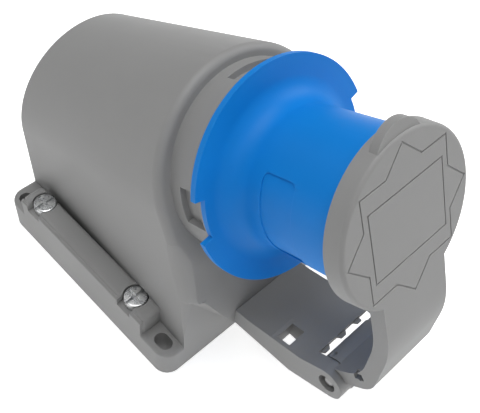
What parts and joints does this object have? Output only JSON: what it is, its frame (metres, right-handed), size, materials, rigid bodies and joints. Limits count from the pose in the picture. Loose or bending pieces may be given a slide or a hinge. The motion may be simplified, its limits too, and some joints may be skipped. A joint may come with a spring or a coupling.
{
  "type": "angled pin and sleeve inlet",
  "caption": "Wall-mounted pin and sleeve inlet with a grey angled hood, blue sleeve and flange, and a spring-closed hinged lid.",
  "frame": {"origin": "centre of the four mounting slots, on the wall plane at the back of the base", "axes": "+Z away from the wall, +X along the housing towards the inlet and the lid, +Y across the housing"},
  "size_m": [0.1619, 0.0874, 0.1331],
  "materials": {
    "grey_plastic": "satin",
    "blue_plastic": "semi-gloss",
    "carrier_plastic": "matt",
    "seal_rubber": "matt",
    "grommet_rubber": "matt",
    "pin_brass": "nickel plated",
    "zinc_steel": "zinc plated",
    "spring_steel": "bright"
  },
  "bodies": {
    "inlet": {"housing_hood": "grey_plastic", "back_plate": "grey_plastic", "back_gasket": "seal_rubber", "cover_screws": "zinc_steel", "entry_grommet": "grommet_rubber", "inlet_gasket": "seal_rubber", "inlet_shroud": "blue_plastic", "pin_carrier": "carrier_plastic", "earth_pin": "pin_brass", "live_pin": "pin_brass", "neutral_pin": "pin_brass", "terminal_screws": "zinc_steel", "carrier_screws": "zinc_steel", "hinge_bracket": "grey_plastic", "bracket_screws": "zinc_steel", "hinge_pin": "spring_steel", "lid_spring": "spring_steel"},
    "lid": {"lid": "grey_plastic", "lid_seal": "seal_rubber"}
  },
  "joints": [
    {"name": "lid_hinge", "type": "hinge", "parent": "inlet", "child": "lid", "pos_m": [0.0955, 0, 0.0331], "axis": [0, 1, 0], "range_deg": [0, 105], "stiffness_Nm_per_rad": 0.04, "springref_deg": -51.57, "deforming": ["lid_spring"]}
  ]
}
